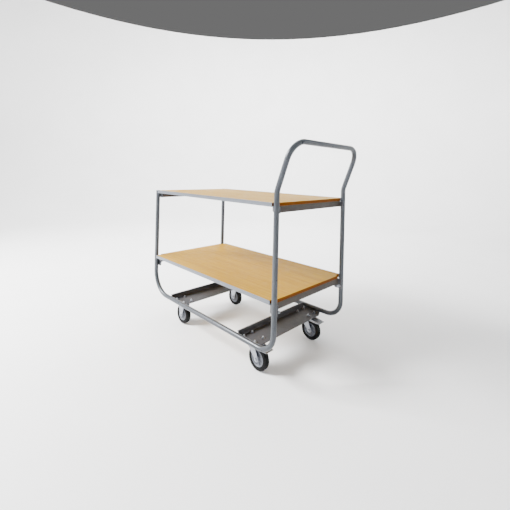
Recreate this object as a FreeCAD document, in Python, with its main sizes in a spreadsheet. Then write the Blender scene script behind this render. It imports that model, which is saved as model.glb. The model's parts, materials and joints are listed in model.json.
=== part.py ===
import FreeCAD, Part
import math
import os
import Sketcher

# Two-tier trolley with a tubular frame, two board shelves and four casters, in millimetres.
# +X runs from the front to the push handle, +Y to the right-hand side, +Z up.
# The origin is on the floor, under the centre of the whole trolley's box.

Vector = FreeCAD.Vector
Rotation = FreeCAD.Rotation
Placement = FreeCAD.Placement

DOC = FreeCAD.newDocument("TierTrolley")
SHEET = DOC.addObject("Spreadsheet::Sheet", "Sizes")

DIMENSIONS = {
    # frame of round tube
    "tube_od": 27.0,
    "tube_wall": 2.0,
    "post_spacing_x": 1125.0,
    "post_spacing_y": 600.0,
    "rail_axis_z": 165.0,
    "front_bend_radius": 150.0,
    "rear_bend_radius": 95.0,
    "handle_reach": 88.0,
    "handle_axis_z": 1167.0,
    "handle_knee_z": 932.0,
    "handle_knee_radius": 80.0,
    "handle_corner_radius": 90.0,
    "handle_side_length": 170.0,
    "cap_head": 3.0,
    "cap_plug": 15.0,
    # shelves
    "lower_shelf_z": 418.0,
    "upper_shelf_z": 878.0,
    "board_thickness": 16.0,
    "board_end_inset": 8.0,
    "board_notch_y": 28.0,
    "board_setback": 4.0,
    "edge_rail_height": 20.0,
    "edge_rail_wall": 3.0,
    "edge_rail_lip": 1.0,
    "edge_rail_gap": 5.0,
    "cross_depth": 33.0,
    "cross_width": 25.0,
    "cross_wall": 2.0,
    "bracket_thickness": 4.0,
    "bracket_width": 48.0,
    "bracket_outset": 10.0,
    "bracket_drop_lower": 75.0,
    "bracket_drop_upper": 49.0,
    "shelf_bolt_drop": 60.0,
    "shelf_bolt_reach": 20.0,
    # caster carriers
    "carrier_width": 140.0,
    "carrier_plate": 4.0,
    "carrier_flange": 30.0,
    "carrier_lip": 10.0,
    "carrier_corner": 22.0,
    "front_caster_x": 260.0,
    "rear_swivel_x": 200.0,
    "rear_carrier_x": 192.0,
    "caster_y": 230.0,
    # casters
    "wheel_diameter": 125.0,
    "tyre_width": 34.0,
    "rim_radius": 41.0,
    "rim_width": 28.0,
    "hub_radius": 15.0,
    "hub_length": 38.0,
    "fork_gap": 40.0,
    "fork_wall": 3.0,
    "fork_foot_radius": 15.0,
    "plate_length": 105.0,
    "plate_width": 85.0,
    "plate_thickness": 3.5,
    "bolt_spacing_x": 80.0,
    "bolt_spacing_y": 60.0,
    "trail": 42.0,
    "race_radius": 30.0,
    "race_height": 5.0,
    "swivel_gap": 0.4,
    "king_pin_radius": 6.0,
    "axle_radius": 4.0,
    "sleeve_radius": 6.0,
    "running_clearance": 0.05,
    "pedal_pivot_x": 16.0,
    "pedal_pivot_z": 128.0,
    "pedal_pin_radius": 3.0,
    "pedal_wall": 2.5,
    "pedal_reach": 118.0,
    # screws, M8 except for the shelf screws
    "bolt_radius": 4.0,
    "hex_radius": 7.5,
    "bolt_head": 5.3,
    "nut_height": 6.5,
    "thread_stand_out": 5.0,
    "screw_radius": 2.0,
    "screw_head_radius": 4.0,
    "screw_head": 2.2,
    "screw_length": 14.0,
}


def write_cell(row, name, value):
    SHEET.set(f"A{row}", name)
    SHEET.set(f"B{row}", f"{value:.6f}")
    SHEET.setAlias(f"B{row}", name)


class Size:
    """A length that carries its number and the sheet expression that gives it."""

    def __init__(self, value, text):
        self.value = value
        self.text = text

    def combine(self, other, sign, result):
        text = other.text if isinstance(other, Size) else f"{other:g}"
        return Size(result, f"({self.text} {sign} {text})")

    def __add__(self, other):
        return self.combine(other, "+", self.value + number(other))

    def __sub__(self, other):
        return self.combine(other, "-", self.value - number(other))

    def __rsub__(self, other):
        return -self + other

    def __mul__(self, factor):
        return self.combine(factor, "*", self.value * number(factor))

    def __truediv__(self, factor):
        return self.combine(factor, "/", self.value / number(factor))

    def __neg__(self):
        return Size(-self.value, f"(-1 * {self.text})")


def number(size):
    return size.value if isinstance(size, Size) else float(size)


def cell(name):
    return Size(DIMENSIONS[name], f"Sizes.{name}")


# The handle leans back in a straight line from its knee to its cross bar.
lean = math.atan2(
    DIMENSIONS["handle_reach"], DIMENSIONS["handle_axis_z"] - DIMENSIONS["handle_knee_z"]
)
DIMENSIONS["handle_joint_x"] = (
    DIMENSIONS["handle_reach"] - DIMENSIONS["handle_side_length"] * math.sin(lean)
)
DIMENSIONS["handle_joint_z"] = (
    DIMENSIONS["handle_axis_z"] - DIMENSIONS["handle_side_length"] * math.cos(lean)
)
DIMENSIONS["handle_knee_start_z"] = (
    DIMENSIONS["handle_knee_z"] - DIMENSIONS["handle_knee_radius"] * math.tan(lean / 2)
)

for row, (name, value) in enumerate(DIMENSIONS.items(), start=1):
    write_cell(row, name, value)
DOC.recompute()

tube_radius = cell("tube_od") / 2
half_x = cell("post_spacing_x") / 2
half_y = cell("post_spacing_y") / 2
axle_z = cell("wheel_diameter") / 2
carrier_top = cell("rail_axis_z") - tube_radius
carrier_bottom = carrier_top - cell("carrier_plate")
plate_bottom = carrier_bottom - cell("plate_thickness")
crown_top = plate_bottom - cell("race_height") - cell("swivel_gap")
crown_bottom = crown_top - cell("plate_thickness")
fork_outer = cell("fork_gap") / 2 + cell("fork_wall")

# The posts are centred ahead of the origin, because the handle reaches out behind them.
centre_x = -DIMENSIONS["handle_reach"] / 2
SIDES = {"left": -1, "right": 1}
ENDS = {"front": -1, "rear": 1}
PARTS = []


# ---- small tools -------------------------------------------------------------------------


def at(x=0.0, y=0.0, z=0.0, rotation=None):
    return Placement(Vector(number(x), number(y), number(z)), rotation or Rotation())


def bind(target, prop, size):
    if isinstance(size, Size):
        target.setExpression(prop, size.text)
    else:
        setattr(target, prop, size)


def new_body(label, placement):
    body = DOC.addObject("PartDesign::Body", label)
    body.Label = label
    body.Placement = placement
    PARTS.append(body)
    return body


def sketch_on(body, role, offset=0.0):
    sketch = body.newObject("Sketcher::SketchObject", f"{body.Name}_sketch")
    support = next(item for item in body.Origin.OriginFeatures if item.Role == role)
    sketch.AttachmentSupport = (support, [""])
    sketch.MapMode = "FlatFace"
    sketch.AttachmentOffset = at(z=number(offset))
    if isinstance(offset, Size):
        sketch.setExpression("AttachmentOffset.Base.z", offset.text)
    return sketch


def lock(sketch, kind, geometry, point, size):
    """Hold one coordinate of a sketch point at a sheet dimension."""
    index = sketch.addConstraint(
        Sketcher.Constraint(kind, -1, 1, geometry, point, number(size))
    )
    if isinstance(size, Size):
        sketch.setExpression(f"Constraints[{index}]", size.text)


def lock_point(sketch, geometry, point, x, y):
    lock(sketch, "DistanceX", geometry, point, x)
    lock(sketch, "DistanceY", geometry, point, y)


def set_radius(sketch, geometry, radius):
    index = sketch.addConstraint(Sketcher.Constraint("Radius", geometry, number(radius)))
    if isinstance(radius, Size):
        sketch.setExpression(f"Constraints[{index}]", radius.text)


def circle(sketch, x, y, radius):
    centre = Vector(number(x), number(y), 0)
    index = sketch.addGeometry(Part.Circle(centre, Vector(0, 0, 1), number(radius)))
    lock_point(sketch, index, 3, x, y)
    set_radius(sketch, index, radius)


def polygon(sketch, points):
    """A closed outline of straight lines with every corner held by the sheet."""
    corners = [Vector(number(x), number(y), 0) for x, y in points]
    first = len(sketch.Geometry)
    count = len(corners)
    for index in range(count):
        sketch.addGeometry(Part.LineSegment(corners[index], corners[(index + 1) % count]))
    for index in range(count):
        following = first + (index + 1) % count
        sketch.addConstraint(Sketcher.Constraint("Coincident", first + index, 2, following, 1))
    for index, (x, y) in enumerate(points):
        lock_point(sketch, first + index, 1, x, y)


def rectangle(sketch, x_low, y_low, x_high, y_high):
    polygon(sketch, [(x_low, y_low), (x_high, y_low), (x_high, y_high), (x_low, y_high)])


def line(sketch, start, end):
    ends = [Vector(number(x), number(y), 0) for x, y in (start, end)]
    return sketch.addGeometry(Part.LineSegment(*ends))


def arc(sketch, centre, radius, first, last):
    middle = Vector(number(centre[0]), number(centre[1]), 0)
    curve = Part.Circle(middle, Vector(0, 0, 1), number(radius))
    index = sketch.addGeometry(Part.ArcOfCircle(curve, math.radians(first), math.radians(last)))
    set_radius(sketch, index, radius)
    return index


def smooth_join(sketch, first, first_end, second, second_end):
    sketch.addConstraint(Sketcher.Constraint("Tangent", first, first_end, second, second_end))


def pad(body, sketch, length, symmetric=False, reverse=False):
    feature = body.newObject("PartDesign::Pad", f"{body.Name}_pad")
    feature.Profile = sketch
    bind(feature, "Length", length)
    feature.Midplane = symmetric
    feature.Reversed = reverse


def pocket(body, sketch, length=None, symmetric=False, reverse=False):
    DOC.recompute()
    before = body.Shape.Volume
    feature = body.newObject("PartDesign::Pocket", f"{body.Name}_pocket")
    feature.Profile = sketch
    feature.Midplane = symmetric
    feature.Reversed = reverse
    if length is None:
        feature.Type = "ThroughAll"
    else:
        bind(feature, "Length", length)
    DOC.recompute()
    if body.Shape.Volume >= before:
        raise ValueError(f"{feature.Name} removes nothing")


def turned(body, sketch):
    """Revolve a half section, drawn as radius and height, about the sketch's own height axis."""
    feature = body.newObject("PartDesign::Revolution", f"{body.Name}_turned")
    feature.Profile = sketch
    feature.ReferenceAxis = (sketch, ["V_Axis"])
    feature.Angle = 360.0


def swept_tube(body, path, section):
    pipe = body.newObject("PartDesign::AdditivePipe", f"{body.Name}_tube")
    pipe.Profile = section
    pipe.Spine = (path, [f"Edge{index + 1}" for index in range(len(path.Geometry))])
    pipe.Mode = "Standard"


def tube_section(sketch, x, y):
    circle(sketch, x, y, tube_radius)
    circle(sketch, x, y, tube_radius - cell("tube_wall"))


def cylinder(label, radius, height, placement):
    shape = DOC.addObject("Part::Cylinder", label)
    bind(shape, "Radius", radius)
    bind(shape, "Height", height)
    shape.Placement = placement
    return shape


def hexagon(label, height, placement):
    shape = DOC.addObject("Part::Prism", label)
    shape.Polygon = 6
    bind(shape, "Circumradius", cell("hex_radius"))
    bind(shape, "Height", height)
    shape.Placement = placement
    return shape


def fused(label, pieces):
    shape = DOC.addObject("Part::MultiFuse", label)
    shape.Shapes = pieces
    return shape


def cut(label, base, tool):
    shape = DOC.addObject("Part::Cut", label)
    shape.Base = base
    shape.Tool = tool
    return shape


def group(label, pattern, places):
    """Identical fasteners in one part, each a solid of its own."""
    DOC.recompute()
    copies = []
    for place in places:
        copy = pattern.Shape.copy()
        copy.Placement = place.multiply(pattern.Placement)
        copies.append(copy)
    feature = DOC.addObject("Part::Feature", label)
    feature.Label = label
    feature.Shape = Part.makeCompound(copies)
    PARTS.append(feature)


# ---- tube frame --------------------------------------------------------------------------


def side_frame(side):
    """One bent tube: front post, bottom rail, rear post and the start of the leaning handle."""
    body = new_body(f"side_frame_{side}", at(centre_x, half_y * SIDES[side]))
    top = cell("upper_shelf_z") - 2
    rail_z = cell("rail_axis_z")
    front_r = cell("front_bend_radius")
    rear_r = cell("rear_bend_radius")
    knee_r = cell("handle_knee_radius")
    knee_z = cell("handle_knee_start_z")
    joint = (half_x + cell("handle_joint_x"), cell("handle_joint_z"))
    knee_centre = (half_x + knee_r, knee_z)
    knee_end = (
        number(half_x + knee_r) - number(knee_r) * math.cos(lean),
        number(knee_z) + number(knee_r) * math.sin(lean),
    )

    path = sketch_on(body, "XZ_Plane")
    front_post = line(path, (-half_x, top), (-half_x, rail_z + front_r))
    front_bend = arc(path, (front_r - half_x, rail_z + front_r), front_r, 180, 270)
    rail = line(path, (front_r - half_x, rail_z), (half_x - rear_r, rail_z))
    rear_bend = arc(path, (half_x - rear_r, rail_z + rear_r), rear_r, 270, 360)
    rear_post = line(path, (half_x, rail_z + rear_r), (half_x, knee_z))
    knee = arc(path, knee_centre, knee_r, 180 - math.degrees(lean), 180)
    handle_start = line(path, knee_end, joint)
    smooth_join(path, front_post, 2, front_bend, 1)
    smooth_join(path, front_bend, 2, rail, 1)
    smooth_join(path, rail, 2, rear_bend, 1)
    smooth_join(path, rear_bend, 2, rear_post, 1)
    smooth_join(path, rear_post, 2, knee, 2)
    smooth_join(path, knee, 1, handle_start, 1)
    for post in (front_post, rear_post):
        path.addConstraint(Sketcher.Constraint("Vertical", post))
    path.addConstraint(Sketcher.Constraint("Horizontal", rail))
    lock_point(path, front_post, 1, -half_x, top)
    lock(path, "DistanceY", rail, 1, rail_z)
    lock_point(path, rear_post, 2, half_x, knee_z)
    lock_point(path, handle_start, 2, *joint)

    section = sketch_on(body, "XY_Plane", top)
    tube_section(section, -half_x, 0)
    swept_tube(body, path, section)


def push_handle():
    """A U of the same tube in the leaning plane, drawn upright and then tilted back."""
    tilt = Rotation(Vector(0, 1, 0), math.degrees(lean))
    foot = at(
        centre_x + number(half_x + cell("handle_joint_x")), 0, cell("handle_joint_z"), tilt
    )
    body = new_body("push_handle", foot)
    radius = cell("handle_corner_radius")
    length = cell("handle_side_length")
    path = sketch_on(body, "YZ_Plane")
    left = line(path, (-half_y, 0), (-half_y, length - radius))
    left_corner = arc(path, (radius - half_y, length - radius), radius, 90, 180)
    bar = line(path, (radius - half_y, length), (half_y - radius, length))
    right_corner = arc(path, (half_y - radius, length - radius), radius, 0, 90)
    right = line(path, (half_y, length - radius), (half_y, 0))
    smooth_join(path, left, 2, left_corner, 2)
    smooth_join(path, left_corner, 1, bar, 1)
    smooth_join(path, bar, 2, right_corner, 2)
    smooth_join(path, right_corner, 1, right, 1)
    for upright in (left, right):
        path.addConstraint(Sketcher.Constraint("Vertical", upright))
    path.addConstraint(Sketcher.Constraint("Horizontal", bar))
    lock_point(path, left, 1, -half_y, 0)
    lock(path, "DistanceY", bar, 1, length)
    lock_point(path, right, 2, half_y, 0)
    section = sketch_on(body, "XY_Plane")
    tube_section(section, 0, -half_y)
    swept_tube(body, path, section)


def post_cap(side):
    """A plug with a low round head that closes the top of a front post."""
    place = at(centre_x - number(half_x), half_y * SIDES[side], cell("upper_shelf_z") - 2)
    body = new_body(f"post_cap_{side}", place)
    head = cell("cap_head")
    inner = tube_radius - cell("tube_wall") - 0.1
    section = sketch_on(body, "XZ_Plane")
    points = [(0, -cell("cap_plug")), (inner, -cell("cap_plug")), (inner, 0), (tube_radius, 0)]
    points += [(tube_radius, head * 0.45), (tube_radius - 2, head * 0.85), (tube_radius - 6, head)]
    polygon(section, points + [(0, head)])
    turned(body, section)


# ---- shelves -----------------------------------------------------------------------------


rail_end = half_x - tube_radius - cell("edge_rail_gap")
bracket_face = half_y - tube_radius
plate_face = bracket_face - cell("bracket_thickness")
outer_face = half_y + tube_radius


def board(tier):
    """A flat board with its four corners cut out around the posts."""
    body = new_body(f"{tier}_board", at(centre_x, 0, cell(f"{tier}_shelf_z")))
    end = half_x - cell("board_end_inset")
    waist = half_y - cell("board_notch_y")
    notch = rail_end - cell("board_setback")
    side = outer_face - cell("edge_rail_wall") - 0.5
    quarter = [(end, waist), (notch, waist), (notch, side)]
    outline = list(quarter)
    outline += [(-x, y) for x, y in reversed(quarter)]
    outline += [(-x, -y) for x, y in quarter]
    outline += [(x, -y) for x, y in reversed(quarter)]
    sketch = sketch_on(body, "XY_Plane")
    polygon(sketch, outline)
    pad(body, sketch, cell("board_thickness"), reverse=True)


def edge_rail(tier, side):
    """An angle section along a board's long side: the board lies on its flat leg."""
    sign = SIDES[side]
    body = new_body(f"{tier}_edge_rail_{side}", at(centre_x, 0, cell(f"{tier}_shelf_z")))
    top = cell("edge_rail_lip")
    bottom = top - cell("edge_rail_height")
    ledge = -cell("board_thickness")
    wall = outer_face - cell("edge_rail_wall")
    outline = [(plate_face, bottom), (outer_face, bottom), (outer_face, top)]
    outline += [(wall, top), (wall, ledge), (plate_face, ledge)]
    sketch = sketch_on(body, "YZ_Plane")
    polygon(sketch, [(y * sign, z) for y, z in outline])
    pad(body, sketch, rail_end * 2, symmetric=True)
    holes = sketch_on(body, "XY_Plane")
    for x in screw_places():
        circle(holes, x, screw_y() * sign, cell("screw_radius") + 0.3)
    pocket(body, holes, symmetric=True)


def screw_places():
    return [half_x * factor for factor in (-0.8, 0, 0.8)]


def screw_y():
    return half_y - 4


def cross_member(tier, end):
    """A rectangular tube under one end of a board, from bracket to bracket."""
    sign = ENDS[end]
    body = new_body(f"{tier}_cross_member_{end}", at(centre_x, 0, cell(f"{tier}_shelf_z")))
    outer = half_x - cell("board_end_inset")
    inner = outer - cell("cross_width")
    top = -cell("board_thickness")
    bottom = top - cell("cross_depth")
    wall = cell("cross_wall")
    sketch = sketch_on(body, "XZ_Plane")
    rectangle(sketch, inner * sign, bottom, outer * sign, top)
    rectangle(sketch, (inner + wall) * sign, bottom + wall, (outer - wall) * sign, top - wall)
    pad(body, sketch, plate_face * 2, symmetric=True)


def bracket(tier, end, side):
    """A corner plate between a post and the end of a cross member."""
    x_sign = ENDS[end]
    place = at(centre_x, plate_face * SIDES[side], cell(f"{tier}_shelf_z"))
    body = new_body(f"{tier}_bracket_{end}_{side}", place)
    outer = half_x + cell("bracket_outset")
    inner = outer - cell("bracket_width")
    top = -cell("board_thickness") - cell("edge_rail_wall")
    bottom = -cell(f"bracket_drop_{tier}")
    sketch = sketch_on(body, "XZ_Plane")
    outline = [(inner, top), (outer, top), (outer, bottom), (inner + 8, bottom), (inner, bottom + 8)]
    polygon(sketch, [(x * x_sign, z) for x, z in outline])
    if tier == "lower":
        circle(sketch, half_x * x_sign, -cell("shelf_bolt_drop"), cell("bolt_radius") + 0.2)
    pad(body, sketch, cell("bracket_thickness"), reverse=side == "right")


def shelf_bolts():
    """Bolts that hold the lower shelf's brackets to the posts, with a lock nut on each."""
    shank_length = cell("shelf_bolt_reach") + cell("bracket_thickness") + 1.5
    shank = cylinder("shelf_bolt_shank", cell("bolt_radius"), shank_length, at())
    head = hexagon("shelf_bolt_head", cell("bolt_head"), at())
    bolt = fused("shelf_bolt_pattern", [shank, head])
    nut = cut(
        "shelf_nut_pattern",
        hexagon("shelf_nut_blank", cell("nut_height"), at()),
        cylinder("shelf_nut_bore", cell("bolt_radius") + 0.1, cell("nut_height"), at()),
    )
    bolts = []
    nuts = []
    for x_sign in ENDS.values():
        for y_sign in SIDES.values():
            outward = Rotation(Vector(0, 0, 1), Vector(0, y_sign, 0))
            x = centre_x + number(half_x) * x_sign
            z = cell("lower_shelf_z") - cell("shelf_bolt_drop")
            start = plate_face - cell("shelf_bolt_reach")
            bolts.append(at(x, start * y_sign, z, outward))
            nuts.append(at(x, (plate_face - cell("nut_height")) * y_sign, z, outward))
    group("shelf_bolts", bolt, bolts)
    group("shelf_nuts", nut, nuts)


def board_screws():
    """Pan-head screws up through the edge rails into the boards."""
    head = cylinder("screw_head_blank", cell("screw_head_radius"), cell("screw_head"), at())
    shank_z = cell("screw_head")
    shank = cylinder("screw_shank", cell("screw_radius"), cell("screw_length"), at(z=shank_z))
    screw = fused("board_screw_pattern", [head, shank])
    places = []
    for tier in ("lower", "upper"):
        below = cell("board_thickness") + cell("edge_rail_wall") + cell("screw_head")
        z = cell(f"{tier}_shelf_z") - below
        for x in screw_places():
            for y_sign in SIDES.values():
                places.append(at(centre_x + number(x), screw_y() * y_sign, z))
    group("board_screws", screw, places)


# ---- caster carriers ---------------------------------------------------------------------


def caster_places():
    """Centre of each caster's plate: the front pair is fixed, the rear pair swivels."""
    places = {}
    for side, sign in SIDES.items():
        front = centre_x - number(half_x) + number(cell("front_caster_x"))
        rear = centre_x + number(half_x) - number(cell("rear_swivel_x"))
        places[f"front_{side}"] = (front, number(cell("caster_y")) * sign)
        places[f"rear_{side}"] = (rear, number(cell("caster_y")) * sign)
    return places


def carrier(end):
    """A folded plate across the two bottom rails, with a raised flange along its front edge."""
    if end == "front":
        middle = centre_x - number(half_x) + number(cell("front_caster_x"))
    else:
        middle = centre_x + number(half_x) - number(cell("rear_carrier_x"))
    body = new_body(f"caster_carrier_{end}", at(middle, 0, carrier_bottom))
    plate = cell("carrier_plate")
    half = cell("carrier_width") / 2
    corner = cell("carrier_corner")
    top = plate + cell("carrier_flange")
    lip = cell("carrier_lip")
    base = sketch_on(body, "XY_Plane")
    outline = [(-half, -half_y), (half - corner, -half_y), (half, corner * 2 - half_y)]
    outline += [(half, half_y - corner * 2), (half - corner, half_y), (-half, half_y)]
    polygon(base, outline)
    pad(body, base, plate)
    fold = sketch_on(body, "XZ_Plane")
    outline = [(-half, 0), (plate * 2 - half, 0), (plate - half, plate * 2), (plate - half, top)]
    outline += [(plate - half - lip, top), (plate - half - lip, top - plate), (-half, top - plate)]
    polygon(fold, outline)
    pad(body, fold, (bracket_face - 0.5) * 2, symmetric=True)
    holes = sketch_on(body, "XY_Plane")
    for name, (x, y) in caster_places().items():
        if name.startswith(end):
            for corner_x, corner_y in plate_corners():
                circle(holes, x - middle + number(corner_x), y + number(corner_y), bolt_hole())
    pocket(body, holes, symmetric=True)


def plate_corners():
    x = cell("bolt_spacing_x") / 2
    y = cell("bolt_spacing_y") / 2
    return [(x, y), (-x, y), (-x, -y), (x, -y)]


def bolt_hole():
    return cell("bolt_radius") + 0.3


def caster_bolts():
    """Four bolts up through each caster plate, with the nuts on top of the carrier."""
    stack = cell("plate_thickness") + cell("carrier_plate") + cell("nut_height")
    shank = cylinder(
        "caster_bolt_shank", cell("bolt_radius"), stack + cell("thread_stand_out"), at()
    )
    head = hexagon("caster_bolt_head", cell("bolt_head"), at(z=-number(cell("bolt_head"))))
    bolt = fused("caster_bolt_pattern", [shank, head])
    nut = cut(
        "caster_nut_pattern",
        hexagon("caster_nut_blank", cell("nut_height"), at()),
        cylinder("caster_nut_bore", cell("bolt_radius") + 0.1, cell("nut_height"), at()),
    )
    bolts = []
    nuts = []
    for x, y in caster_places().values():
        for corner_x, corner_y in plate_corners():
            spot = (x + number(corner_x), y + number(corner_y))
            bolts.append(at(*spot, plate_bottom))
            nuts.append(at(*spot, carrier_top))
    group("caster_bolts", bolt, bolts)
    group("caster_nuts", nut, nuts)


# ---- casters -----------------------------------------------------------------------------


def plate_outline(body, top):
    """The bolted plate of a caster, with its corners cut off."""
    x = cell("plate_length") / 2
    y = cell("plate_width") / 2
    clip = 6.0
    outline = [(x, clip - y), (x, y - clip), (x - clip, y), (clip - x, y)]
    outline += [(-x, y - clip), (-x, clip - y), (clip - x, -y), (x - clip, -y)]
    plate = sketch_on(body, "XY_Plane", top - cell("plate_thickness"))
    polygon(plate, outline)
    for corner_x, corner_y in plate_corners():
        circle(plate, corner_x, corner_y, bolt_hole())
    pad(body, plate, cell("plate_thickness"))


def fork_sides(body, outline, foot_x, top):
    """Two legs cut from one padded side view, with a round foot about the axle."""
    legs = sketch_on(body, "XZ_Plane")
    polygon(legs, outline)
    pad(body, legs, fork_outer * 2, symmetric=True)
    foot = sketch_on(body, "XZ_Plane")
    circle(foot, foot_x, axle_z, cell("fork_foot_radius"))
    pad(body, foot, fork_outer * 2, symmetric=True)
    inside = sketch_on(body, "XZ_Plane")
    rectangle(inside, foot_x - 110, 0, foot_x + 110, top)
    pocket(body, inside, cell("fork_gap"), symmetric=True)
    axle_hole = sketch_on(body, "XZ_Plane")
    circle(axle_hole, foot_x, axle_z, cell("axle_radius") + 0.1)
    pocket(body, axle_hole, symmetric=True)


def fixed_fork(name, place):
    """The front caster's plate and legs in one piece."""
    body = new_body(f"{name}_fork", place)
    plate_outline(body, carrier_bottom)
    foot = cell("fork_foot_radius")
    neck = foot * 0.97
    outline = [(-36, plate_bottom), (-neck, axle_z + 4), (neck, axle_z + 4), (36, plate_bottom)]
    fork_sides(body, outline, 0, plate_bottom)


def swivel_plate(name, place):
    """The rear caster's bolted plate with the upper half of its ball race."""
    body = new_body(f"{name}_top_plate", place)
    plate_outline(body, carrier_bottom)
    race = sketch_on(body, "XY_Plane", plate_bottom - cell("race_height"))
    circle(race, 0, 0, cell("race_radius"))
    pad(body, race, cell("race_height"))
    hole = sketch_on(body, "XY_Plane")
    circle(hole, 0, 0, cell("king_pin_radius") + cell("running_clearance"))
    pocket(body, hole, reverse=True)


def swivel_fork(name, place):
    """The turning fork: a round crown, and legs that trail back to the axle."""
    body = new_body(f"{name}_fork", place)
    crown = sketch_on(body, "XY_Plane", crown_bottom)
    circle(crown, 0, 0, cell("race_radius") + 2)
    pad(body, crown, cell("plate_thickness"))
    trail = cell("trail")
    foot = cell("fork_foot_radius")
    outline = [(-26, crown_top), (-26, crown_top - 16), (trail - foot, axle_z + 2)]
    outline += [(trail + foot, axle_z + 2), (33, crown_top - 22), (33, crown_top)]
    fork_sides(body, outline, trail, crown_bottom)
    hole = sketch_on(body, "XY_Plane")
    circle(hole, 0, 0, cell("king_pin_radius") + cell("running_clearance"))
    pocket(body, hole, reverse=True)
    pivot = sketch_on(body, "XZ_Plane")
    pin_hole = cell("pedal_pin_radius") + cell("running_clearance")
    circle(pivot, cell("pedal_pivot_x"), cell("pedal_pivot_z"), pin_hole)
    pocket(body, pivot, symmetric=True)


def king_pin(name, place):
    """The rivet on which the fork turns, with a round head under the crown."""
    body = new_body(f"{name}_king_pin", place)
    radius = cell("king_pin_radius")
    head_top = crown_bottom - cell("swivel_gap")
    top = carrier_bottom - 0.3
    section = sketch_on(body, "XZ_Plane")
    points = [(0, head_top - 4), (radius + 1, head_top - 4), (radius + 5, head_top - 2)]
    points += [(radius + 5, head_top), (radius, head_top), (radius, top), (0, top)]
    polygon(section, points)
    turned(body, section)


def wheel(name, x, y):
    """A turned rim with a hub, and a rubber tyre seated on it."""
    across = Rotation(Vector(1, 0, 0), 90)
    place = at(x, y, axle_z, across)
    half = cell("tyre_width") / 2
    rim = cell("rim_radius")
    outer = cell("wheel_diameter") / 2
    tyre = new_body(f"{name}_tyre", place)
    section = sketch_on(tyre, "XZ_Plane")
    profile = [(rim, half - 4), (rim + 5, half - 1), (outer - 9, half), (outer - 4, half - 2)]
    profile += [(outer - 1, half - 6), (outer, half - 11)]
    polygon(section, profile + [(r, -z) for r, z in reversed(profile)])
    turned(tyre, section)
    rim_body = new_body(f"{name}_rim", place)
    section = sketch_on(rim_body, "XZ_Plane")
    bore = cell("sleeve_radius") + cell("running_clearance")
    hub = cell("hub_radius")
    hub_half = cell("hub_length") / 2
    edge = cell("rim_width") / 2 - 1
    profile = [(bore, hub_half), (hub - 2, hub_half), (hub, hub_half - 2), (hub + 2, 5)]
    profile += [(rim - 7, 5), (rim - 4, edge), (rim, edge)]
    polygon(section, profile + [(r, -z) for r, z in reversed(profile)])
    turned(rim_body, section)


def axle_parts(name, x, y):
    """The sleeve between the fork's legs, on which the wheel turns."""
    across = Rotation(Vector(1, 0, 0), 90)
    half_gap = cell("fork_gap") / 2
    place = at(x, number(y) + number(half_gap), axle_z, across)
    body = new_body(f"{name}_axle_sleeve", place)
    section = sketch_on(body, "XY_Plane")
    circle(section, 0, 0, cell("sleeve_radius"))
    circle(section, 0, 0, cell("axle_radius") + 0.1)
    pad(body, section, cell("fork_gap"))


def axle_fasteners(label, places):
    """The axle bolt through both legs, its head on one side and its nut on the other."""
    width = fork_outer * 2
    shank_length = width + cell("nut_height") + 2
    shank = cylinder(f"{label}_shank", cell("axle_radius"), shank_length, at())
    head = hexagon(f"{label}_head", cell("bolt_head"), at(z=-number(cell("bolt_head"))))
    bolt = fused(f"{label}_bolt_pattern", [shank, head])
    nut = cut(
        f"{label}_nut_pattern",
        hexagon(f"{label}_nut_blank", cell("nut_height"), at()),
        cylinder(f"{label}_nut_bore", cell("axle_radius") + 0.1, cell("nut_height"), at()),
    )
    bolts = []
    nuts = []
    for x, y in places:
        outward = 1 if y > 0 else -1
        inward = Rotation(Vector(0, 0, 1), Vector(0, -outward, 0))
        start = y + outward * number(fork_outer)
        bolts.append(at(x, start, axle_z, inward))
        nuts.append(at(x, y - outward * number(fork_outer), axle_z, inward))
    group(f"{label}_bolt", bolt, bolts)
    group(f"{label}_nut", nut, nuts)


def brake_pedal(name, place):
    """A pressed lever that straddles the fork and carries the foot plate behind the wheel."""
    body = new_body(f"{name}_brake_pedal", place)
    pivot_x = cell("pedal_pivot_x")
    pivot_z = cell("pedal_pivot_z")
    reach = cell("pedal_reach")
    wall = cell("pedal_wall")
    crest = pivot_z + 5
    tip = pivot_z - 4
    inner = fork_outer + 0.5
    outer = inner + wall
    side_view = sketch_on(body, "XZ_Plane")
    outline = [(pivot_x - 7, pivot_z - 6), (64, pivot_z - 8), (reach - 22, tip - 5)]
    outline += [(reach, tip - wall), (reach, tip), (60, crest), (pivot_x - 7, crest)]
    polygon(side_view, outline)
    pad(body, side_view, outer * 2, symmetric=True)
    inside = sketch_on(body, "XZ_Plane")
    roof = crest - wall
    outline = [(pivot_x - 20, pivot_z - 30), (reach + 5, pivot_z - 30), (reach + 5, tip - wall)]
    outline += [(60, roof), (46, roof), (46, pivot_z + 20), (pivot_x - 20, pivot_z + 20)]
    polygon(inside, outline)
    pocket(body, inside, inner * 2, symmetric=True)
    pin = sketch_on(body, "XZ_Plane")
    circle(pin, pivot_x, pivot_z, cell("pedal_pin_radius"))
    pad(body, pin, outer * 2 + 3, symmetric=True)


def build_casters():
    spots = caster_places()
    front = [spot for name, spot in spots.items() if name.startswith("front")]
    for name, (x, y) in spots.items():
        place = at(x, y)
        if name.startswith("front"):
            fixed_fork(name, place)
            axle_x = x
        else:
            swivel_plate(name, place)
            swivel_fork(name, place)
            king_pin(name, place)
            brake_pedal(name, place)
            axle_x = x + number(cell("trail"))
            axle_fasteners(f"{name}_axle", [(axle_x, y)])
        wheel(name, axle_x, y)
        axle_parts(name, axle_x, y)
    axle_fasteners("front_axle", front)


# ---- the whole trolley -------------------------------------------------------------------


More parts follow.
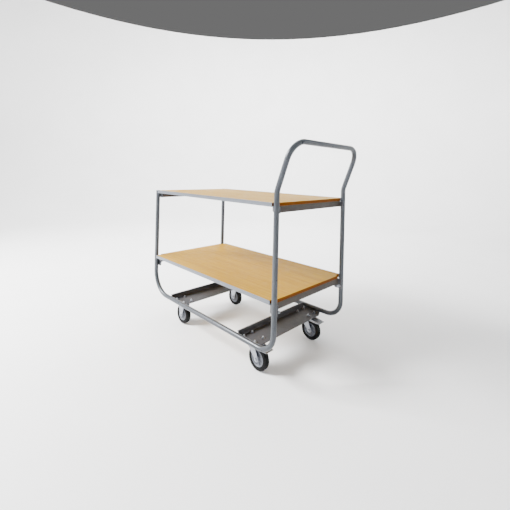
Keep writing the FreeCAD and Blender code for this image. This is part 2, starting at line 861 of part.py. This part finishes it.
for side in SIDES:
    side_frame(side)
    post_cap(side)
push_handle()
for tier in ("lower", "upper"):
    board(tier)
    for side in SIDES:
        edge_rail(tier, side)
    for end in ENDS:
        cross_member(tier, end)
        for side in SIDES:
            bracket(tier, end, side)
shelf_bolts()
board_screws()
for end in ENDS:
    carrier(end)
caster_bolts()
build_casters()
DOC.recompute()

for item in DOC.Objects:
    if "Invalid" in item.State or "Error" in item.State:
        raise ValueError(f"{item.Name} failed: {item.State}")
for part in PARTS:
    if part.Shape.isNull() or not part.Shape.isValid():
        raise ValueError(f"{part.Label} has no valid shape")

os.makedirs("parts", exist_ok=True)
for part in PARTS:
    part.Shape.exportStep(f"parts/{part.Label}.step")
print(len(PARTS), "parts")
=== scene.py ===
"""Looks of the two-tier trolley: materials, wheels, fasteners, welds and the studio.

The CAD frame is in metres: +X towards the push handle, -Y the side nearest to the camera, +Z up.
"""
import json
import math
import random

import bmesh
import bpy
from mathutils import Matrix, Vector


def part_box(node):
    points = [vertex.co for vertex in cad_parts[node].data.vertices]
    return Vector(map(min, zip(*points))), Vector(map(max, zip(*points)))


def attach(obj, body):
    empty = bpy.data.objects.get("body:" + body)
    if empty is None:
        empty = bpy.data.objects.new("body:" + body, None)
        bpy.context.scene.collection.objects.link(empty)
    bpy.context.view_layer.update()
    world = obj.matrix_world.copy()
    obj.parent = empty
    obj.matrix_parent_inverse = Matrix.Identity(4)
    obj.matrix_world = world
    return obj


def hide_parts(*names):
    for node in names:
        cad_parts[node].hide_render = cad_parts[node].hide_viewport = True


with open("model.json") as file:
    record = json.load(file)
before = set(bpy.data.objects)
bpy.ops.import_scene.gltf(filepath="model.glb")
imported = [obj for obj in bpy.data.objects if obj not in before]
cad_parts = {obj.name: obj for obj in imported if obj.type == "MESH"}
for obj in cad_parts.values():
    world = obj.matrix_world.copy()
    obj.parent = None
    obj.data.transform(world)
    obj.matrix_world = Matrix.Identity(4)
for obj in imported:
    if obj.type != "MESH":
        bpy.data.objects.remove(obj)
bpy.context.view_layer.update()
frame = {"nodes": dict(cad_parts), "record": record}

MM = 0.001
TUBE_RADIUS = 13.5 * MM
BOLT_RADIUS = 4 * MM
HEAD_RADIUS = 7.4 * MM
HEAD_HEIGHT = 5.3 * MM
SHANK_START = 5.2 * MM
NUT_RADIUS = 7.2 * MM
WASHER_BORE = 4.3 * MM
nodes = frame["nodes"]


# ---- material tools ----------------------------------------------------------------------


def linear(red, green, blue):
    """An sRGB colour, 0 to 255, as the linear colour that shaders take."""
    channels = []
    for value in (red, green, blue):
        value = value / 255
        channels.append(value / 12.92 if value <= 0.04045 else ((value + 0.055) / 1.055) ** 2.4)
    return (*channels, 1.0)


class Shader:
    """A node material under construction, with short calls for the nodes used here."""

    def __init__(self, name):
        self.material = bpy.data.materials.new(name)
        self.material.use_nodes = True
        self.tree = self.material.node_tree
        self.surface = self.tree.nodes["Principled BSDF"]
        self.place = self.tree.nodes.new("ShaderNodeTexCoord").outputs["Object"]

    def node(self, kind, **settings):
        made = self.tree.nodes.new(kind)
        for name, value in settings.items():
            setattr(made, name, value)
        return made

    def link(self, source, target):
        self.tree.links.new(source, target)

    def stretched(self, scale):
        mapping = self.node("ShaderNodeMapping")
        mapping.inputs["Scale"].default_value = scale
        self.link(self.place, mapping.inputs["Vector"])
        return mapping.outputs["Vector"]

    def noise(self, scale, detail=4.0, roughness=0.5, vector=None):
        texture = self.node("ShaderNodeTexNoise")
        texture.inputs["Scale"].default_value = scale
        texture.inputs["Detail"].default_value = detail
        texture.inputs["Roughness"].default_value = roughness
        self.link(vector or self.place, texture.inputs["Vector"])
        return texture.outputs["Fac"]

    def cells(self, scale):
        texture = self.node("ShaderNodeTexVoronoi")
        texture.inputs["Scale"].default_value = scale
        self.link(self.place, texture.inputs["Vector"])
        return texture.outputs["Color"]

    def ramp(self, factor, stops):
        """Colours or greys along a factor: stops is a list of (position, colour)."""
        node = self.node("ShaderNodeValToRGB")
        elements = node.color_ramp.elements
        while len(elements) < len(stops):
            elements.new(0.5)
        for element, (position, colour) in zip(elements, stops):
            element.position = position
            element.color = colour if isinstance(colour, tuple) else (colour, colour, colour, 1)
        self.link(factor, node.inputs["Fac"])
        return node.outputs["Color"]

    def mix(self, factor, first, second, blend="MIX"):
        node = self.node("ShaderNodeMix", data_type="RGBA", blend_type=blend)
        for socket, value in (("Factor", factor), ("A", first), ("B", second)):
            # the node has a socket of each name for every data type: the fitting one is picked
            kind = "VALUE" if socket == "Factor" else "RGBA"
            target = next(i for i in node.inputs if i.name == socket and i.type == kind)
            if isinstance(value, bpy.types.NodeSocket):
                self.link(value, target)
            else:
                target.default_value = value
        return next(o for o in node.outputs if o.type == "RGBA")

    def maths(self, operation, first, second):
        node = self.node("ShaderNodeMath", operation=operation)
        for index, value in enumerate((first, second)):
            if isinstance(value, bpy.types.NodeSocket):
                self.link(value, node.inputs[index])
            else:
                node.inputs[index].default_value = value
        return node.outputs["Value"]

    def bump(self, height, strength, distance):
        node = self.node("ShaderNodeBump")
        node.inputs["Strength"].default_value = strength
        node.inputs["Distance"].default_value = distance
        self.link(height, node.inputs["Height"])
        if self.surface.inputs["Normal"].is_linked:
            self.link(self.surface.inputs["Normal"].links[0].from_socket, node.inputs["Normal"])
        self.link(node.outputs["Normal"], self.surface.inputs["Normal"])

    def colour(self, value):
        self.link(value, self.surface.inputs["Base Color"])

    def rough(self, value):
        self.link(value, self.surface.inputs["Roughness"])

    def constant(self, name, value):
        self.surface.inputs[name].default_value = value

    def pointiness(self):
        return self.node("ShaderNodeNewGeometry").outputs["Pointiness"]


def enamel(name, base, rough, metallic, shine=0.5):
    """Silver-grey enamel: metallic flake, orange peel, dusty patches and rubbed edges."""
    shader = Shader(name)
    dark = tuple(channel * 0.90 for channel in base[:3]) + (1.0,)
    light = tuple(min(1.0, channel * 1.08) for channel in base[:3]) + (1.0,)
    patches = shader.ramp(shader.noise(14.0, 6.0, 0.6), [(0.3, dark), (0.7, light)])
    flake = shader.ramp(shader.cells(2600.0), [(0.0, 0.86), (1.0, 1.0)])
    coloured = shader.mix(0.55, patches, flake, "MULTIPLY")
    rubbed = shader.ramp(shader.pointiness(), [(0.53, 0.0), (0.60, 1.0)])
    bright = tuple(min(1.0, channel * 1.35) for channel in base[:3]) + (1.0,)
    shader.colour(shader.mix(shader.maths("MULTIPLY", rubbed, 0.45), coloured, bright))
    smear = shader.noise(38.0, 5.0, 0.65)
    shader.rough(shader.ramp(smear, [(0.25, rough - 0.06), (0.75, rough + 0.10)]))
    shader.constant("Metallic", metallic)
    shader.constant("Specular IOR Level", shine)
    shader.bump(shader.noise(700.0, 2.0), 0.10, 0.0004)
    shader.bump(shader.noise(60.0, 3.0), 0.06, 0.0008)
    return shader.material


def zinc(name, base, rough=0.30):
    """Bright zinc plate with faint crystals, drawn marks and dull patches."""
    shader = Shader(name)
    crystals = shader.ramp(shader.cells(420.0), [(0.0, 0.80), (1.0, 1.0)])
    cloud = shader.noise(90.0, 5.0, 0.6)
    warm = (base[0] * 0.93, base[1] * 0.92, base[2] * 0.86, 1.0)
    tinted = shader.mix(shader.ramp(cloud, [(0.35, 0.0), (0.75, 1.0)]), base, warm)
    shader.colour(shader.mix(0.6, tinted, crystals, "MULTIPLY"))
    shader.rough(shader.ramp(cloud, [(0.2, rough - 0.08), (0.8, rough + 0.14)]))
    shader.constant("Metallic", 0.92)
    shader.bump(shader.noise(500.0, 3.0), 0.12, 0.0003)
    return shader.material


def laminate():
    """Golden beech laminate: long grain, short flecks, a satin film, and an orange edge band."""
    shader = Shader("board_laminate_look")
    grain = shader.noise(1.0, 8.0, 0.62, shader.stretched((3.2, 75.0, 75.0)))
    broad = shader.noise(1.0, 3.0, 0.5, shader.stretched((0.9, 9.0, 9.0)))
    flecks = shader.noise(1.0, 2.0, 0.4, shader.stretched((120.0, 900.0, 900.0)))
    face = shader.ramp(
        grain,
        [(0.30, linear(149, 110, 0)), (0.52, linear(162, 123, 0)), (0.72, linear(172, 134, 0))],
    )
    tone = shader.ramp(broad, [(0.3, linear(232, 226, 215)), (0.7, linear(255, 255, 255))])
    face = shader.mix(0.75, face, tone, "MULTIPLY")
    fleck = shader.ramp(flecks, [(0.60, 0.0), (0.72, 1.0)])
    face = shader.mix(shader.maths("MULTIPLY", fleck, 0.35), face, linear(128, 88, 0))
    band = shader.ramp(
        shader.noise(1.0, 5.0, 0.6, shader.stretched((60.0, 12.0, 300.0))),
        [(0.3, linear(88, 46, 0)), (0.7, linear(110, 60, 0))],
    )
    normal = shader.node("ShaderNodeSeparateXYZ")
    shader.link(shader.node("ShaderNodeNewGeometry").outputs["Normal"], normal.inputs["Vector"])
    level = shader.maths("ABSOLUTE", normal.outputs["Z"], 0.0)
    on_edge = shader.maths("LESS_THAN", level, 0.6)
    shader.colour(shader.mix(on_edge, face, band))
    shader.rough(shader.ramp(shader.noise(22.0, 6.0, 0.7), [(0.25, 0.40), (0.75, 0.56)]))
    shader.constant("Specular IOR Level", 0.05)
    shader.bump(grain, 0.10, 0.0003)
    shader.bump(flecks, 0.05, 0.0002)
    return shader.material


def rubber():
    """Black rubber with a dusty tread, mould bloom and a fine pebble."""
    shader = Shader("tyre_look")
    bloom = shader.noise(45.0, 6.0, 0.7)
    greys = [(0.3, linear(7, 7, 8)), (0.62, linear(12, 12, 12)), (0.85, linear(25, 24, 22))]
    shader.colour(shader.ramp(bloom, greys))
    shader.rough(shader.ramp(bloom, [(0.3, 0.50), (0.8, 0.74)]))
    shader.constant("Specular IOR Level", 0.12)
    shader.bump(shader.noise(900.0, 3.0), 0.25, 0.0004)
    shader.bump(shader.noise(160.0, 4.0), 0.10, 0.0006)
    return shader.material


def moulded(name, base, rough=0.45):
    """Moulded plastic with a fine spark texture, flow marks and scuffs."""
    shader = Shader(name)
    flow = shader.noise(30.0, 5.0, 0.6)
    dark = tuple(channel * 0.86 for channel in base[:3]) + (1.0,)
    light = tuple(min(1.0, channel * 1.08) for channel in base[:3]) + (1.0,)
    shader.colour(shader.ramp(flow, [(0.3, dark), (0.7, light)]))
    shader.rough(shader.ramp(flow, [(0.25, rough - 0.06), (0.75, rough + 0.12)]))
    shader.bump(shader.noise(1200.0, 2.0), 0.18, 0.0003)
    return shader.material


def weld_look():
    """Painted weld bead: the same enamel over a heaped, rippled surface."""
    shader = Shader("weld_look")
    ripples = shader.noise(420.0, 4.0, 0.6)
    shader.colour(shader.ramp(ripples, [(0.3, linear(66, 69, 74)), (0.7, linear(86, 90, 96))]))
    shader.rough(shader.ramp(ripples, [(0.3, 0.34), (0.7, 0.55)]))
    shader.constant("Metallic", 0.35)
    shader.bump(ripples, 0.35, 0.0008)
    return shader.material


LOOKS = {
    "tube_paint": enamel("tube_paint_look", linear(62, 66, 72), 0.30, 0.25),
    # edge rails: the tube enamel made lighter, painted highlight for their lit faces
    "rail_paint": enamel("rail_painted_highlight_look", linear(92, 96, 103), 0.34, 0.20),
    # cross members: a darker, brownish copy of the rail paint, painted shade with a painted brown reflection
    # on their shaded faces
    "cross_painted_shade": enamel("cross_painted_shade_look", linear(54, 48, 42), 0.46, 0.10, 0.3),
    "bracket_paint": enamel("bracket_paint_look", linear(72, 73, 77), 0.38, 0.25),
    "carrier_paint": enamel("carrier_paint_look", linear(68, 68, 71), 0.50, 0.05, 0.12),
    "board_laminate": laminate(),
    "zinc_steel": zinc("zinc_look", linear(156, 160, 170)),
    "pedal_steel": zinc("pedal_look", linear(132, 134, 140), 0.38),
    "rim_grey": moulded("rim_look", linear(100, 103, 111)),
    "tyre_rubber": rubber(),
    "cap_plastic": moulded("cap_look", linear(150, 152, 157), 0.40),
    "weld": weld_look(),
}


# ---- mesh tools --------------------------------------------------------------------------


def finished(name, mesh_data, look, body, smooth=35):
    """Turns a bmesh into a piece that rides on a body, shaded smooth below an angle."""
    mesh = bpy.data.meshes.new(name)
    bmesh.ops.recalc_face_normals(mesh_data, faces=mesh_data.faces)
    mesh_data.to_mesh(mesh)
    mesh_data.free()
    piece = bpy.data.objects.new(name, mesh)
    bpy.context.scene.collection.objects.link(piece)
    mesh.materials.append(LOOKS[look])
    mesh.shade_smooth()
    mesh.set_sharp_from_angle(angle=math.radians(smooth))
    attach(piece, body)
    return piece


def lathe(data, profile, centre, axis, segments=72, closed=True):
    """Revolves (radius, along) points about an axis through centre, into an open bmesh."""
    turn = Vector((0, 0, 1)).rotation_difference(Vector(axis)).to_matrix()
    rings = []
    for radius, along in profile:
        ring = []
        for step in range(segments):
            angle = math.tau * step / segments
            local = Vector((radius * math.cos(angle), radius * math.sin(angle), along))
            ring.append(data.verts.new(Vector(centre) + turn @ local))
        rings.append(ring)
    count = len(rings)
    last = count if closed else count - 1
    for index in range(last):
        one, two = rings[index], rings[(index + 1) % count]
        for step in range(segments):
            after = (step + 1) % segments
            data.faces.new((one[step], one[after], two[after], two[step]))
    if not closed:
        data.faces.new(rings[0])
        data.faces.new(list(reversed(rings[-1])))


def rounded(profile, radius, steps=4):
    """Rounds every corner of a closed profile by a small radius."""
    out = []
    count = len(profile)
    for index in range(count):
        before = Vector(profile[index - 1])
        here = Vector(profile[index])
        after = Vector(profile[(index + 1) % count])
        reach = min(radius, (here - before).length * 0.45, (after - here).length * 0.45)
        start = here + (before - here).normalized() * reach
        end = here + (after - here).normalized() * reach
        for step in range(steps + 1):
            t = step / steps
            point = start * (1 - t) ** 2 + here * 2 * t * (1 - t) + end * t ** 2
            out.append((point.x, point.y))
    return out


def hexagon(data, radius, height, centre, axis, turn=0.0):
    """A hexagonal head or nut with its outer corners chamfered, standing on centre."""
    rotate = Vector((0, 0, 1)).rotation_difference(Vector(axis)).to_matrix()
    chamfer = height * 0.14
    levels = [(0.93, 0.0), (1.0, chamfer), (1.0, height - chamfer), (0.93, height)]
    rings = []
    for scale, along in levels:
        ring = []
        for step in range(6):
            angle = math.tau * step / 6 + turn
            local = Vector((radius * scale * math.cos(angle), radius * scale * math.sin(angle), along))
            ring.append(data.verts.new(Vector(centre) + rotate @ local))
        rings.append(ring)
    for one, two in zip(rings, rings[1:]):
        for step in range(6):
            after = (step + 1) % 6
            data.faces.new((one[step], one[after], two[after], two[step]))
    data.faces.new(rings[0])
    data.faces.new(list(reversed(rings[-1])))


def threaded_rod(data, radius, start, axis, length, pitch=1.25 * MM):
    """A rod whose side is a row of thread crests, with a chamfered tip."""
    crest, root = radius, radius * 0.86
    turns = max(2, int(length / pitch))
    profile = [(root, 0.0)]
    for index in range(turns):
        profile.append((root, (index + 0.1) * length / turns))
        profile.append((crest, (index + 0.5) * length / turns))
        profile.append((root, (index + 0.9) * length / turns))
    profile.append((root * 0.85, length))
    lathe(data, profile, start, axis, 24, closed=False)


def washer(data, centre, axis, inner, outer, thick):
    profile = rounded([(inner, 0), (outer, 0), (outer, thick), (inner, thick)], thick * 0.3, 2)
    lathe(data, profile, centre, axis, 32)


def swept(data, points, radius, seed, closed=False):
    """A bead along points, heaped in overlapping ripples like a run of weld."""
    dice = random.Random(seed)
    path = [Vector(p) for p in points]
    count = len(path)
    rings = []
    for index, point in enumerate(path):
        after = path[(index + 1) % count] if closed or index + 1 < count else point
        before = path[index - 1] if closed or index > 0 else point
        tangent = (after - before).normalized()
        side = tangent.orthogonal().normalized()
        up = tangent.cross(side)
        swell = 1.0 + 0.16 * math.sin(index * math.pi * 0.8) + dice.uniform(-0.06, 0.06)
        if not closed and index in (0, count - 1):
            swell = 0.45
        ring = []
        for step in range(8):
            angle = math.tau * step / 8
            offset = side * math.cos(angle) + up * math.sin(angle)
            ring.append(data.verts.new(point + offset * radius * swell))
        rings.append(ring)
    pairs = list(zip(rings, rings[1:])) + ([(rings[-1], rings[0])] if closed else [])
    for one, two in pairs:
        for step in range(8):
            after = (step + 1) % 8
            data.faces.new((one[step], one[after], two[after], two[step]))
    if not closed:
        data.faces.new(rings[0])
        data.faces.new(list(reversed(rings[-1])))


def straight(start, end, spacing=1.6 * MM):
    start, end = Vector(start), Vector(end)
    count = max(3, int((end - start).length / spacing))
    return [start.lerp(end, index / count) for index in range(count + 1)]


# ---- carried-over CAD nodes: looks and softened edges ------------------------------------

SLOTS = {entry["node"]: entry["material_slot"] for entry in frame["record"]["subparts"]}
SOFT_EDGES = {
    "_board": 0.5,
    "edge_rail": 0.6,
    "cross_member": 1.6,
    "bracket": 0.6,
    "carrier": 1.2,
    "_fork": 0.9,
    "top_plate": 0.5,
    "brake_pedal": 0.7,
    "post_cap": 0.6,
}

for name, node in nodes.items():
    node.data.materials.clear()
    # cross members share the rail paint but are given its painted-shade copy
    node.data.materials.append(LOOKS["cross_painted_shade" if "cross_member" in name else SLOTS[name]])
    for polygon in node.data.polygons:
        polygon.material_index = 0
    width = next((size for key, size in SOFT_EDGES.items() if key in name), None)
    if width:
        weld = node.modifiers.new("join", "WELD")
        weld.merge_threshold = 0.00001
        bevel = node.modifiers.new("soft_edges", "BEVEL")
        bevel.width = width * MM
        bevel.segments = 3
        bevel.limit_method = "ANGLE"
        bevel.angle_limit = math.radians(38)
        bevel.harden_normals = True


# ---- wheels ------------------------------------------------------------------------------


def middle(name):
    low, high = (Vector(corner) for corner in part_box(name))
    return (low + high) / 2, high - low


def tyre(corner):
    """Solid rubber tyre: crowned tread with fine grooves, rounded shoulders, ringed side walls."""
    centre, size = middle(f"{corner}_tyre")
    radius, half = size.x / 2, size.y / 2
    seat = middle(f"{corner}_rim")[1].x / 2
    side = [
        (seat, half * 0.74),
        (seat + 2.5 * MM, half * 0.90),
        (seat + 4.0 * MM, half * 0.90),
        (seat + 4.8 * MM, half * 0.97),
        (seat + 9.0 * MM, half * 0.97),
        (seat + 9.6 * MM, half * 0.92),
        (seat + 10.4 * MM, half * 0.92),
        (seat + 11.0 * MM, half * 0.96),
        (radius - 6.0 * MM, half * 0.93),
        (radius - 2.2 * MM, half * 0.80),
        (radius - 0.7 * MM, half * 0.60),
    ]
    tread = []
    for place in (0.36, 0.12):
        tread += [
            (radius - 0.12 * MM, half * (place + 0.05)),
            (radius - 1.0 * MM, half * (place + 0.02)),
            (radius - 1.0 * MM, half * (place - 0.02)),
            (radius, half * (place - 0.05)),
        ]
    right = side + tread
    profile = right + [(r, -along) for r, along in reversed(right)]
    data = bmesh.new()
    lathe(data, rounded(profile, 0.5 * MM, 2), centre, (0, 1, 0), 112)
    piece = finished(f"{corner}_tyre_detail", data, "tyre_rubber", f"{corner}_wheel")
    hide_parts(f"{corner}_tyre")


def rim(corner):
    """Grey moulded rim: raised lip, dished web with ribs and a stepped hub."""
    centre, size = middle(f"{corner}_rim")
    radius, half = size.x / 2, size.y / 2
    bore = 6.05 * MM
    side = [
        (bore, half),
        (bore + 5 * MM, half),
        (bore + 6 * MM, half - 3 * MM),
        (15 * MM, half - 4 * MM),
        (16.5 * MM, 6.5 * MM),
        (24 * MM, 5 * MM),
        (radius - 8 * MM, 5 * MM),
        (radius - 6 * MM, 12 * MM),
        (radius - 4.5 * MM, 13.6 * MM),
        (radius - 1.5 * MM, 13.6 * MM),
        (radius, 12.4 * MM),
    ]
    profile = side + [(r, -along) for r, along in reversed(side)]
    data = bmesh.new()
    lathe(data, rounded(profile, 0.8 * MM, 3), centre, (0, 1, 0), 96)
    for face in (-1, 1):
        for step in range(8):
            angle = math.tau * (step + 0.5) / 8
            outward = Vector((math.cos(angle), 0, math.sin(angle)))
            across = Vector((-math.sin(angle), 0, math.cos(angle)))
            start, end = 14.5 * MM, radius - 6.0 * MM
            corners = []
            for reach, wide, lift in ((start, 1.4, 9.5), (end, 1.0, 9.0)):
                for sign in (-1, 1):
                    for level in (3.0, lift):
                        spot = centre + outward * reach + across * sign * wide * MM
                        corners.append(spot + Vector((0, face * level * MM, 0)))
            made = [data.verts.new(corner_place) for corner_place in corners]
            for loop in ((0, 1, 3, 2), (4, 6, 7, 5), (0, 4, 5, 1), (2, 3, 7, 6), (1, 5, 7, 3), (0, 2, 6, 4)):
                data.faces.new([made[index] for index in loop])
    piece = finished(f"{corner}_rim_detail", data, "rim_grey", f"{corner}_wheel", 30)
    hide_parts(f"{corner}_rim")


# ---- fasteners ---------------------------------------------------------------------------


def solid_boxes(name):
    """The box of every separate solid in a CAD node, as (centre, size)."""
    data = bmesh.new()
    data.from_mesh(nodes[name].data)
    bmesh.ops.remove_doubles(data, verts=data.verts, dist=0.00001)
    left = set(data.verts)
    boxes = []
    while left:
        stack = [left.pop()]
        island = list(stack)
        while stack:
            for edge in stack.pop().link_edges:
                for vert in edge.verts:
                    if vert in left:
                        left.remove(vert)
                        stack.append(vert)
                        island.append(vert)
        low = Vector([min(v.co[i] for v in island) for i in range(3)])
        high = Vector([max(v.co[i] for v in island) for i in range(3)])
        boxes.append(((low + high) / 2, high - low))
    data.free()
    return sorted(boxes, key=lambda box: tuple(round(value, 4) for value in box[0]))


def standing_bolts():
    """Caster bolts: chamfered heads below, threads standing out above the nuts."""
    bolts = bmesh.new()
    for centre, size in solid_boxes("caster_bolts"):
        foot = centre - Vector((0, 0, size.z / 2))
        hexagon(bolts, HEAD_RADIUS, HEAD_HEIGHT, foot, (0, 0, 1), centre.x * 40)
        shank = foot + Vector((0, 0, SHANK_START))
        threaded_rod(bolts, BOLT_RADIUS, shank, (0, 0, 1), size.z - SHANK_START)
    piece = finished("caster_bolts_detail", bolts, "zinc_steel", "frame", 25)
    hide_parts("caster_bolts")
    nuts = bmesh.new()
    for index, (centre, size) in enumerate(solid_boxes("caster_nuts")):
        foot = centre - Vector((0, 0, size.z / 2))
        washer(nuts, foot, (0, 0, 1), WASHER_BORE, 8.0 * MM, 1.5 * MM)
        lift = 1.4 * MM
        seat = foot + Vector((0, 0, lift))
        hexagon(nuts, NUT_RADIUS, size.z - lift, seat, (0, 0, 1), index * 0.7)
    piece = finished("caster_nuts_detail", nuts, "zinc_steel", "frame", 25)
    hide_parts("caster_nuts")


def cross_bolts(name, body, threads_towards):
    """Bolts that lie along Y. threads_towards(centre) gives the sign of their threaded end."""
    data = bmesh.new()
    for centre, size in solid_boxes(name):
        sign = threads_towards(centre)
        head = centre - Vector((0, sign * size.y / 2, 0))
        along = Vector((0, sign, 0))
        hexagon(data, HEAD_RADIUS, HEAD_HEIGHT, head, along, 0.3)
        threaded_rod(data, BOLT_RADIUS, head + along * SHANK_START, along, size.y - SHANK_START)
    piece = finished(f"{name}_detail", data, "zinc_steel", body, 25)
    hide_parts(name)


def cross_nuts(name, body, outward):
    data = bmesh.new()
    for centre, size in solid_boxes(name):
        sign = outward(centre)
        foot = centre - Vector((0, sign * size.y / 2, 0))
        along = Vector((0, sign, 0))
        washer(data, foot, along, WASHER_BORE, HEAD_RADIUS, 1.2 * MM)
        lift = 1.1 * MM
        hexagon(data, NUT_RADIUS, size.y - lift, foot + along * lift, along, 0.5)
    piece = finished(f"{name}_detail", data, "zinc_steel", body, 25)
    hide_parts(name)


def side_of(centre):
    return 1 if centre.y > 0 else -1


# ---- welds -------------------------------------------------------------------------------


def welds():
    """Beads where plates and tubes of the frame meet."""
    carrier_bead = 2.4 * MM
    member_bead = 1.5 * MM
    data = bmesh.new()
    seed = 0
    for end in ("front", "rear"):
        low, high = (Vector(corner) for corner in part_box(f"caster_carrier_{end}"))
        inner = abs(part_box("side_frame_left")[1][1])
        for sign in (-1, 1):
            seed += 1
            y = sign * (inner + 4.0 * MM)
            z = low.z + 4.6 * MM
            bead = straight((low.x + 16 * MM, y, z), (high.x - 26 * MM, y, z))
            swept(data, bead, carrier_bead, seed)
    for tier in ("lower", "upper"):
        for end in ("front", "rear"):
            low, high = (Vector(corner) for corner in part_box(f"{tier}_cross_member_{end}"))
            for sign in (-1, 1):
                seed += 1
                y = sign * (high.y - 0.6 * MM)
                for x in (low.x, high.x):
                    bead = straight((x, y, low.z + 2 * MM), (x, y, high.z - 2 * MM))
                    swept(data, bead, member_bead, seed)
                swept(data, straight((low.x, y, low.z), (high.x, y, low.z)), member_bead, seed)
    finished("frame_welds", data, "weld", "frame", 60)


def handle_welds():
    """A thin dressed ring where the handle meets each side frame."""
    low, high = (Vector(corner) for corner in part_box("push_handle"))
    rise = high.z - low.z
    lean = math.atan2(high.x - low.x - 2 * TUBE_RADIUS, rise - 2 * TUBE_RADIUS)
    axis = Vector((math.sin(lean), 0, math.cos(lean)))
    across = axis.cross(Vector((0, 1, 0))).normalized()
    data = bmesh.new()
    joint_x = low.x + TUBE_RADIUS * math.cos(lean)
    joint_z = low.z + TUBE_RADIUS * math.sin(lean)
    for sign in (-1, 1):
        centre = Vector((joint_x, sign * 0.3, joint_z))
        points = []
        for step in range(60):
            angle = math.tau * step / 60
            outward = across * math.cos(angle) + Vector((0, 1, 0)) * math.sin(angle)
            points.append(centre + outward * 13.3 * MM)
        swept(data, points, 0.6 * MM, sign + 5, closed=True)
    finished("handle_welds", data, "tube_paint", "frame", 60)


# ---- casters' small details --------------------------------------------------------------


def race_details(corner):
    """Rolled dust ring over the upper half of the ball race."""
    centre = middle(f"{corner}_top_plate")[0]
    low = Vector(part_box(f"{corner}_top_plate")[0])
    data = bmesh.new()
    profile = [(28 * MM, 1.0 * MM), (32 * MM, 0.8 * MM), (33.5 * MM, 3.0 * MM)]
    profile += [(31 * MM, 4.9 * MM), (28 * MM, 4.9 * MM)]
    lathe(data, rounded(profile, 0.8 * MM, 3), (centre.x, centre.y, low.z), (0, 0, 1), 64)
    finished(f"{corner}_race_ring", data, "zinc_steel", "frame")


def pedal_details(corner):
    """Raised grip ribs across the pedal's foot plate."""
    low, high = (Vector(corner_place) for corner_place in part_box(f"{corner}_brake_pedal"))
    data = bmesh.new()
    middle_y = (low.y + high.y) / 2
    for index in range(4):
        x = high.x - (27 + index * 7) * MM
        z = high.z - 2.6 * MM
        ends = [(x, middle_y - 20 * MM, z), (x, middle_y + 20 * MM, z)]
        swept(data, straight(*ends, spacing=4 * MM), 0.9 * MM, index)
    finished(f"{corner}_pedal_ribs", data, "pedal_steel", f"{corner}_pedal", 60)


# ---- build -------------------------------------------------------------------------------

for corner in ("front_left", "front_right", "rear_left", "rear_right"):
    tyre(corner)
    rim(corner)
standing_bolts()
cross_bolts("shelf_bolts", "frame", side_of)
cross_nuts("shelf_nuts", "frame", lambda centre: -side_of(centre))
cross_bolts("front_axle_bolt", "frame", lambda centre: -side_of(centre))
cross_nuts("front_axle_nut", "frame", lambda centre: -side_of(centre))
for corner in ("rear_left", "rear_right"):
    swivel = f"{corner}_swivel"
    cross_bolts(f"{corner}_axle_bolt", swivel, lambda centre: -side_of(centre))
    cross_nuts(f"{corner}_axle_nut", swivel, lambda centre: -side_of(centre))
    race_details(corner)
    pedal_details(corner)
welds()
handle_welds()


# ---- studio ------------------------------------------------------------------------------


def floor_look():
    shader = Shader("floor_look")
    shader.colour(
        shader.ramp(shader.noise(1.5, 3.0), [(0.3, linear(246, 246, 246)), (0.7, linear(250, 250, 250))])
    )
    shader.constant("Roughness", 0.75)
    return shader.material


def studio():
    """A pale floor that curves up into a wall all round, so that no horizon shows."""
    data = bmesh.new()
    profile = [(0.01, 0.0), (5.0, 0.0)]
    for step in range(1, 13):
        angle = math.pi / 2 * step / 12
        profile.append((5.0 + 2.5 * math.sin(angle), 2.5 - 2.5 * math.cos(angle)))
    profile.append((7.5, 5.0))
    lathe(data, profile, (0, 0, 0), (0, 0, 1), 96, closed=False)
    data.faces.ensure_lookup_table()
    lid = max(data.faces, key=lambda face: face.calc_center_median().z)
    bmesh.ops.delete(data, geom=[lid], context="FACES_ONLY")
    mesh = bpy.data.meshes.new("floor")
    bmesh.ops.recalc_face_normals(data, faces=data.faces)
    data.to_mesh(mesh)
    data.free()
    mesh.shade_smooth()
    mesh.materials.append(floor_look())
    floor = bpy.data.objects.new("floor", mesh)
    bpy.context.scene.collection.objects.link(floor)


def area_light(name, place, target, size, power):
    light = bpy.data.lights.new(name, "AREA")
    light.shape = "RECTANGLE"
    light.size, light.size_y = size
    light.energy = power
    lamp = bpy.data.objects.new(name, light)
    lamp.location = place
    direction = Vector(target) - Vector(place)
    lamp.rotation_euler = direction.to_track_quat("-Z", "Y").to_euler()
    bpy.context.scene.collection.objects.link(lamp)


def lighting():
    world = bpy.data.worlds.new("studio_world")
    bpy.context.scene.world = world
    world.use_nodes = True
    background = world.node_tree.nodes["Background"]
    background.inputs["Color"].default_value = (1.0, 1.0, 1.0, 1.0)
    background.inputs["Strength"].default_value = 0.16
    area_light("key", (-2.4, -3.0, 3.2), (0, 0, 0.5), (1.6, 1.6), 950)
    area_light("top", (0.2, 0.2, 4.2), (0, 0, 0.4), (3.0, 3.0), 80)
    area_light("wall_wash", (-1.6, 1.8, 4.6), (-5.5, 5.5, 0.6), (4.0, 2.0), 850)


def camera():
    """Level camera off the handle end's near corner, at the height of the handle's lower part."""
    data = bpy.data.cameras.new("camera")
    data.sensor_width = 36.0
    data.lens = 22.7
    data.shift_y = -0.16
    data.dof.use_dof = False
    view = bpy.data.objects.new("camera", data)
    view.location = (1.509, -1.433, 1.014)
    heading = math.radians(45.15)
    look = Vector((-math.sin(heading), math.cos(heading), 0))
    facing = look.to_track_quat("-Z", "Y").to_matrix()
    roll = Matrix.Rotation(math.radians(1.37), 3, "Z")
    view.rotation_euler = (facing @ roll).to_euler()
    bpy.context.scene.collection.objects.link(view)
    bpy.context.scene.camera = view


studio()
lighting()
camera()
